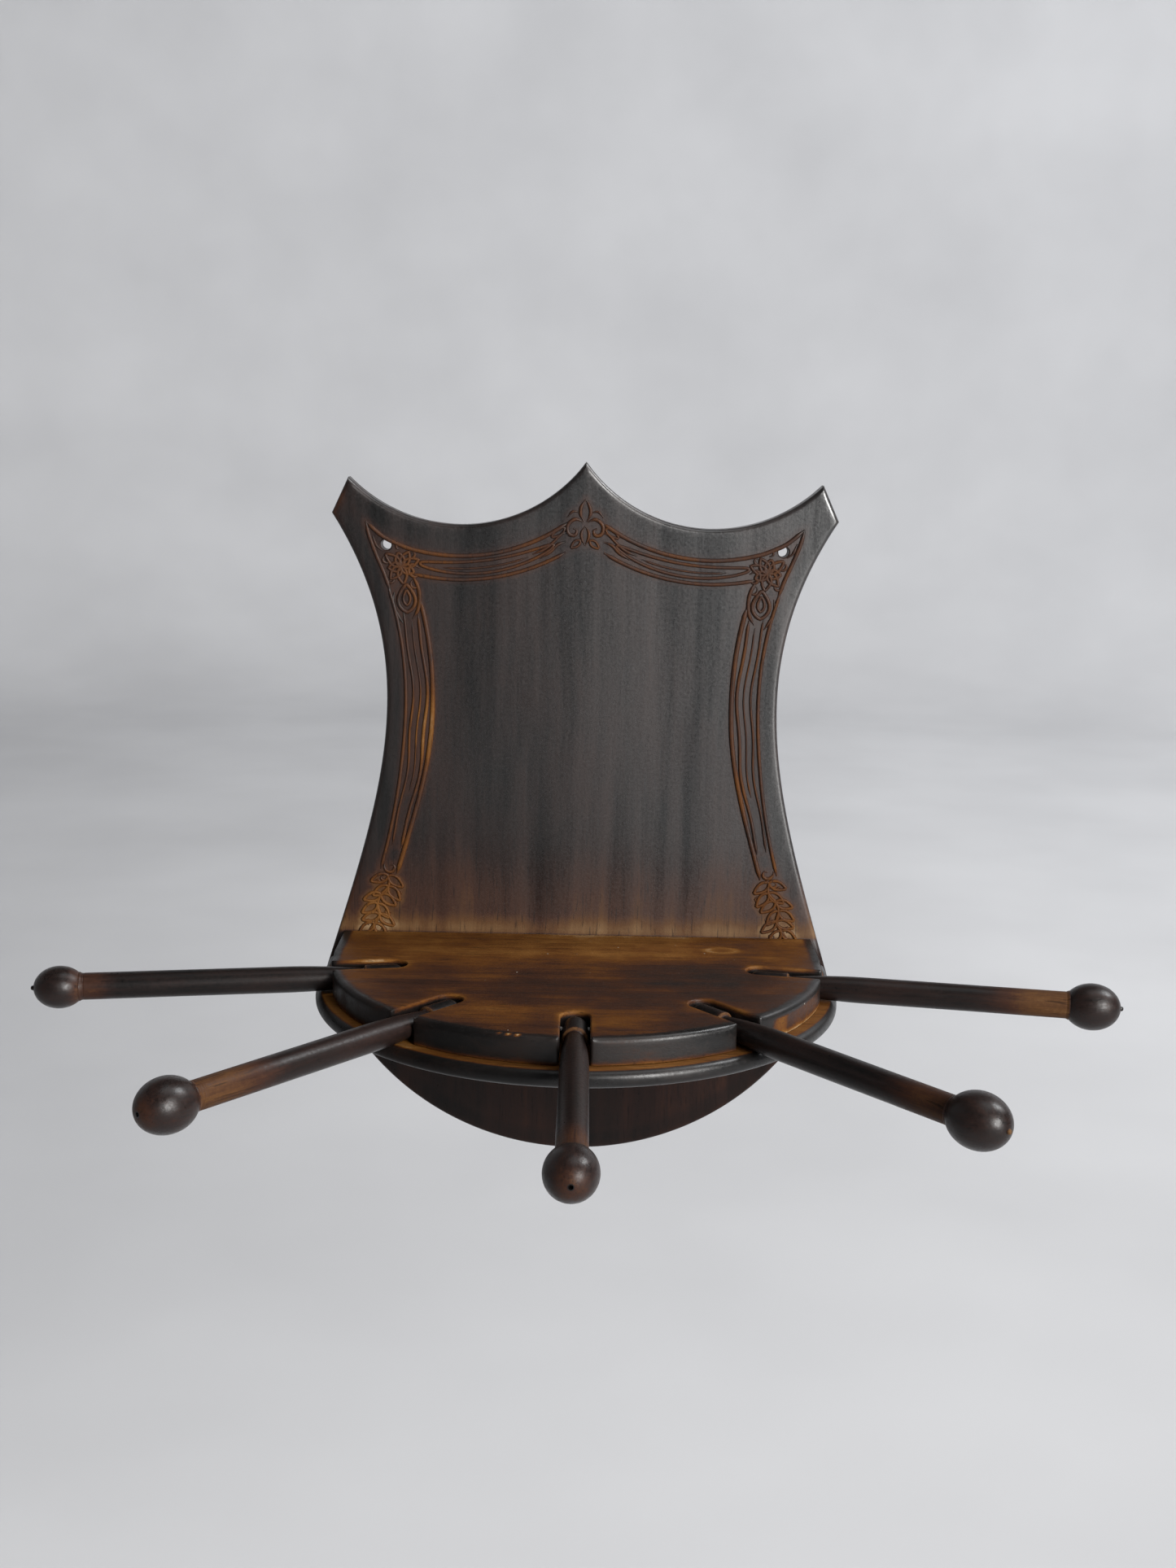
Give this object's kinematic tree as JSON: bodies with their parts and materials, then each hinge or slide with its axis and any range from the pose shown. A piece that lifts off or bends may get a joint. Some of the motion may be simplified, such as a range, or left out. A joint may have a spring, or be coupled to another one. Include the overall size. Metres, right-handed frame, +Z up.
{
  "type": "wall-hung folding-arm rack",
  "caption": "Wall-hung wooden mug rack: a shield-shaped backboard with a rounded shelf whose turned, knob-ended arms fold up on pivot pins.",
  "frame": {"origin": "on the back face of the backboard, centred left to right, level with the top of the shelf", "axes": "+Z up, +Y into the wall, so the front faces -Y; +X to the right seen from the front"},
  "size_m": [0.4379, 0.2668, 0.305],
  "materials": {
    "board_wood": "dark stained, satin, worn brown edges",
    "shelf_wood": "red-brown stained, satin, worn",
    "lower_wood": "near-black stained, satin",
    "arm_wood": "dark stained, satin, worn near the knobs",
    "pin_steel": "drawn wire, dull",
    "screw_steel": "dull, aged"
  },
  "bodies": {
    "rack": {"backboard": "board_wood", "slotted_plate": "shelf_wood", "lower_plate": "lower_wood", "pivot_pin_1": "pin_steel", "pivot_pin_2": "pin_steel", "pivot_pin_3": "pin_steel", "pivot_pin_4": "pin_steel", "pivot_pin_5": "pin_steel", "board_screw_1": "screw_steel", "board_screw_2": "screw_steel", "board_screw_3": "screw_steel", "board_screw_4": "screw_steel", "plate_screw_1": "screw_steel", "plate_screw_2": "screw_steel", "plate_screw_3": "screw_steel", "plate_screw_4": "screw_steel"},
    "arm_1": {"arm_1": "arm_wood"},
    "arm_2": {"arm_2": "arm_wood"},
    "arm_3": {"arm_3": "arm_wood"},
    "arm_4": {"arm_4": "arm_wood"},
    "arm_5": {"arm_5": "arm_wood"}
  },
  "joints": [
    {"name": "arm_1_fold", "type": "hinge", "parent": "rack", "child": "arm_1", "pos_m": [-0.07583, -0.05787, -0.0055], "axis": [-0.1736, 0.9848, 0], "range_deg": [0, 95]},
    {"name": "arm_2_fold", "type": "hinge", "parent": "rack", "child": "arm_2", "pos_m": [-0.04949, -0.10348, -0.0055], "axis": [-0.766, 0.6428, 0], "range_deg": [0, 95]},
    {"name": "arm_3_fold", "type": "hinge", "parent": "rack", "child": "arm_3", "pos_m": [0, -0.1215, -0.0055], "axis": [-1, 0, 0], "range_deg": [0, 95]},
    {"name": "arm_4_fold", "type": "hinge", "parent": "rack", "child": "arm_4", "pos_m": [0.04949, -0.10348, -0.0055], "axis": [-0.766, -0.6428, 0], "range_deg": [0, 95]},
    {"name": "arm_5_fold", "type": "hinge", "parent": "rack", "child": "arm_5", "pos_m": [0.07583, -0.05787, -0.0055], "axis": [-0.1736, -0.9848, 0], "range_deg": [0, 95]}
  ]
}
